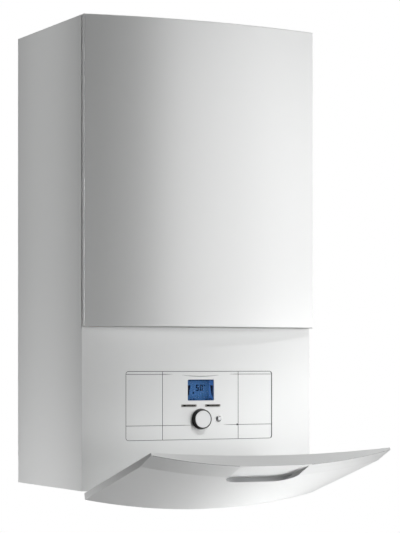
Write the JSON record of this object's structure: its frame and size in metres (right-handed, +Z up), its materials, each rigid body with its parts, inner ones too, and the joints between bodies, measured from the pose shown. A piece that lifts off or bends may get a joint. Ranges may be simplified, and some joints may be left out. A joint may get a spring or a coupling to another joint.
{
  "type": "wall-hung gas boiler",
  "caption": "White wall-hung gas combi boiler with a bowed front, drop-down flap, control panel with display, knob and keys, top flue socket and pipe ends below.",
  "frame": {"origin": "middle of the two wall bolts, on the wall's face", "axes": "+X right seen from the front, +Y into the wall, +Z up"},
  "size_m": [0.44, 0.5797, 0.8553],
  "materials": {
    "casing_white": "stove-enamelled white",
    "fascia_white": "fine moulded white",
    "galvanised_steel": "spangled zinc",
    "bright_steel": "bright plated",
    "seal_rubber": "matt foam",
    "control_grey": "moulded grey",
    "knob_black": "fine satin black",
    "key_grey": "satin dark grey",
    "knob_white": "satin white",
    "button_metal": "satin plated",
    "display_glass": "clear",
    "display_blue": "backlit blue",
    "board_green": "solder resist",
    "stainless_steel": "brushed",
    "insulation_fibre": "pressed fibre",
    "copper": "drawn copper",
    "brass_cast": "machined brass",
    "aluminium_cast": "die cast",
    "motor_black": "black enamel",
    "vessel_red": "red enamel",
    "pump_iron": "coated iron",
    "rotor_plastic": "filled nylon",
    "relief_red": "moulded red"
  },
  "bodies": {
    "casing": {"bottom_tray": "casing_white", "burner_bars": "stainless_steel", "burner_frame": "stainless_steel", "burner_manifold": "brass_cast", "cable_gland": "seal_rubber", "casing_screws": "bright_steel", "centre_insert": "fascia_white", "chamber_cover": "galvanised_steel", "chamber_shell": "galvanised_steel", "cold_water_pipe": "copper", "combustion_box": "stainless_steel", "control_box": "control_grey", "control_fascia": "fascia_white", "display_board": "board_green", "display_module": "display_blue", "display_window": "display_glass", "exchanger_fins": "copper", "exchanger_tubes": "copper", "expansion_vessel": "vessel_red", "fan_housing": "aluminium_cast", "fan_motor": "motor_black", "flap_hinge_brackets": "galvanised_steel", "flap_hinge_pins": "bright_steel", "flow_riser": "copper", "flue_adaptor": "aluminium_cast", "flue_hood": "stainless_steel", "front_panel": "casing_white", "front_seal": "seal_rubber", "gas_inlet_pipe": "copper", "gas_supply_pipe": "copper", "gas_valve": "aluminium_cast", "heating_flow_pipe": "copper", "heating_return_pipe": "copper", "hot_water_pipe": "copper", "insulation_boards": "insulation_fibre", "left_bay_cover": "fascia_white", "left_side_panel": "casing_white", "left_water_block": "brass_cast", "main_board": "board_green", "plate_exchanger": "stainless_steel", "pump_body": "pump_iron", "pump_motor": "motor_black", "rear_frame": "galvanised_steel", "return_riser": "copper", "right_bay_cover": "fascia_white", "right_side_panel": "casing_white", "right_water_block": "brass_cast", "safety_valve": "brass_cast", "top_panel": "casing_white", "wall_bracket": "galvanised_steel"},
    "flap": {"front_flap": "fascia_white", "flap_hinge_arms": "galvanised_steel"},
    "knob": {"selector_knob": "knob_black", "knob_cap": "knob_white"},
    "reset": {"reset_button": "button_metal"},
    "left_key": {"left_soft_key": "key_grey"},
    "right_key": {"right_soft_key": "key_grey"},
    "fan": {"fan_impeller": "aluminium_cast"},
    "pump_rotor": {"pump_impeller": "rotor_plastic"},
    "relief_knob": {"safety_valve_knob": "relief_red"}
  },
  "joints": [
    {"name": "flap_hinge", "type": "hinge", "parent": "casing", "child": "flap", "pos_m": [0, -0.3046, -0.7456], "axis": [-1, 0, 0], "range_deg": [0, 73.26]},
    {"name": "knob_turn", "type": "hinge", "parent": "casing", "child": "knob", "pos_m": [0, -0.32, -0.6212], "axis": [0, -1, 0], "continuous": true},
    {"name": "reset_press", "type": "slide", "parent": "casing", "child": "reset", "axis": [0, 1, 0], "range_m": [0, 0.0012], "stiffness_N_per_m": 400},
    {"name": "left_key_press", "type": "slide", "parent": "casing", "child": "left_key", "axis": [0, 1, 0], "range_m": [0, 0.0012], "stiffness_N_per_m": 400},
    {"name": "right_key_press", "type": "slide", "parent": "casing", "child": "right_key", "axis": [0, 1, 0], "range_m": [0, 0.0012], "stiffness_N_per_m": 400},
    {"name": "fan_spin", "type": "hinge", "parent": "casing", "child": "fan", "pos_m": [-0.07, -0.19625, -0.1], "axis": [0, 0, 1], "continuous": true},
    {"name": "pump_spin", "type": "hinge", "parent": "casing", "child": "pump_rotor", "pos_m": [0.118, -0.08, -0.53], "axis": [0, -1, 0], "continuous": true},
    {"name": "relief_turn", "type": "hinge", "parent": "casing", "child": "relief_knob", "pos_m": [-0.127, -0.11, -0.65], "axis": [0, -1, 0], "range_deg": [0, 90]}
  ]
}
